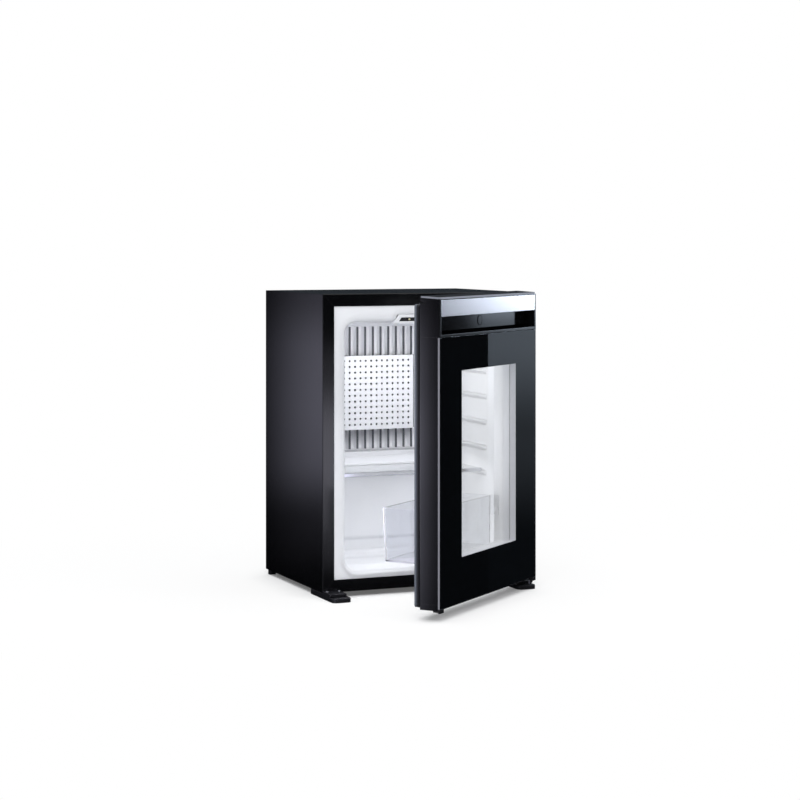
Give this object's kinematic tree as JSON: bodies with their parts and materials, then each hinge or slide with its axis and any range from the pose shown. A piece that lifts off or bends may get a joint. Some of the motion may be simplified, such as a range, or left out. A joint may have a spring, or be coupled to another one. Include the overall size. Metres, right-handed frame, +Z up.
{
  "type": "minibar fridge",
  "caption": "Small black glass-door hotel fridge with finned cooling plate, sliding shelf, door rack and a rear absorption cooling unit.",
  "frame": {"origin": "on the floor below the middle of the casing's footprint", "axes": "+X right when facing the door, +Y to the back, +Z up"},
  "size_m": [0.4028, 0.677, 0.5492],
  "materials": {
    "casing_paint": "satin",
    "galvanised_sheet": "matte",
    "liner_white": "satin",
    "foam": "matte",
    "fin_metal": "satin",
    "guard_sheet": "satin",
    "diffuser": "matte",
    "control_black": "gloss",
    "indicator": "gloss",
    "button_white": "satin",
    "foot_plastic": "satin",
    "pin_steel": "satin",
    "unit_steel": "satin",
    "door_plastic": "satin",
    "cap_grey": "satin",
    "door_glass": "polished",
    "clear_glass": "polished",
    "spacer_dark": "satin",
    "strip_metal": "satin",
    "trim_bright": "polished",
    "gasket_rubber": "matte",
    "bush_plastic": "matte",
    "rack_clear": "gloss"
  },
  "bodies": {
    "cabinet": {"left_side_panel": "casing_paint", "right_side_panel": "casing_paint", "top_panel": "casing_paint", "base_panel": "casing_paint", "rear_panel": "galvanised_sheet", "inner_liner": "liner_white", "insulation_foam": "foam", "evaporator_fins": "fin_metal", "evaporator_guard": "guard_sheet", "drip_gutter": "liner_white", "drain_tube": "liner_white", "light_housing": "liner_white", "light_diffuser": "diffuser", "control_strip": "control_black", "indicator_led": "indicator", "left_hinge_foot": "foot_plastic", "right_hinge_foot": "foot_plastic", "lower_hinge_pin": "pin_steel", "rear_feet": "foot_plastic", "upper_hinge_bracket": "pin_steel", "upper_hinge_pin": "pin_steel", "insulation_plug": "foam", "unit_mounting_plate": "galvanised_sheet", "evaporator_tube": "unit_steel", "boiler_casing": "galvanised_sheet", "heating_element": "pin_steel", "absorber_vessel": "unit_steel", "absorber_coil": "unit_steel", "heat_exchanger_tube": "unit_steel", "condenser_tube": "unit_steel", "condenser_fins": "fin_metal", "vessel_saddles": "galvanised_sheet", "electronics_box": "foot_plastic", "cable_gland": "foot_plastic"},
    "door": {"front_glass": "door_glass", "glazing_spacer": "spacer_dark", "inner_glass": "clear_glass", "door_frame": "door_plastic", "door_bottom_cap": "door_plastic", "handle_housing": "door_plastic", "handle_strip": "strip_metal", "door_top_cap": "cap_grey", "recess_panel": "control_black", "lock_plug": "strip_metal", "door_gasket": "gasket_rubber", "inner_door_panel": "door_plastic", "lower_hinge_bushes": "bush_plastic", "upper_hinge_bushes": "bush_plastic"},
    "shelf": {"shelf_plate": "clear_glass", "shelf_front_trim": "trim_bright", "shelf_rear_stop": "liner_white"},
    "rack": {"door_rack": "rack_clear"},
    "button": {"temperature_button": "button_white"}
  },
  "joints": [
    {"name": "door_hinge", "type": "hinge", "parent": "cabinet", "child": "door", "pos_m": [0.189, -0.201, 0], "axis": [0, 0, 1], "range_deg": [-39.5, 65.5]},
    {"name": "shelf_slide", "type": "slide", "parent": "cabinet", "child": "shelf", "axis": [0, -1, 0], "range_m": [0, 0.08]},
    {"name": "rack_lift", "type": "slide", "parent": "door", "child": "rack", "axis": [0, 0, 1], "range_m": [0, 0.014]},
    {"name": "button_press", "type": "slide", "parent": "cabinet", "child": "button", "axis": [0, 1, 0], "range_m": [0, 0.001], "stiffness_N_per_m": 300}
  ]
}
